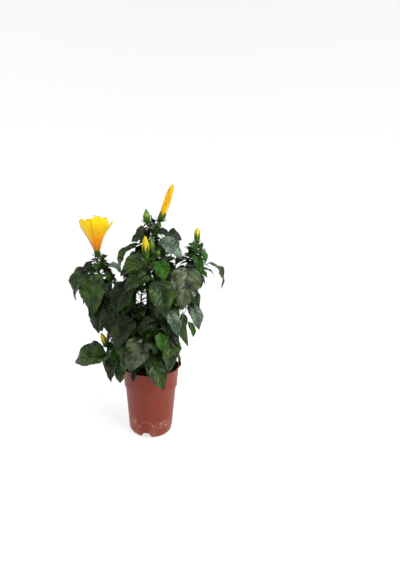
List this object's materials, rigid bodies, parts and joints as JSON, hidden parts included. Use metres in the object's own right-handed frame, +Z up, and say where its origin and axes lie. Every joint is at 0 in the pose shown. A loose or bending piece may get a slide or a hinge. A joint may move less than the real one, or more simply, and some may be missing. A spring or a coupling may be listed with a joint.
{
  "type": "potted hibiscus shrub",
  "caption": "Leafy hibiscus shrub with a short forked trunk, drooping glossy leaves, pointed buds and yellow blossom, standing in a tall tapered nursery pot.",
  "frame": {"origin": "middle of the pot's flat underside, where it stands on the floor", "axes": "+Z up, +X to the right and +Y to the back as seen from the front"},
  "size_m": [0.3414, 0.2207, 0.563],
  "materials": {
    "pot": "satin",
    "soil": "matte",
    "bark": "matte",
    "foliage": "gloss",
    "blossom": "satin"
  },
  "bodies": {
    "root": {"pot": "pot", "soil": "soil", "trunk": "bark", "bough_top": "bark", "foliage_top": "foliage", "bough_front": "bark", "foliage_front": "foliage", "bough_right": "bark", "foliage_right": "foliage", "bough_left": "bark", "foliage_left": "foliage", "bough_back_left": "bark", "foliage_back_left": "foliage", "bough_back_right": "bark", "foliage_back_right": "foliage", "bough_mid_left": "bark", "foliage_mid_left": "foliage", "bough_mid_right": "bark", "foliage_mid_right": "foliage", "bough_low_left": "bark", "foliage_low_left": "foliage", "bough_low_front": "bark", "foliage_low_front": "foliage", "bough_low_right": "bark", "foliage_low_right": "foliage", "bough_low_back": "bark", "foliage_low_back": "foliage", "bough_low_back_left": "bark", "foliage_low_back_left": "foliage", "bough_low_back_right": "bark", "foliage_low_back_right": "foliage"}
  },
  "joints": []
}
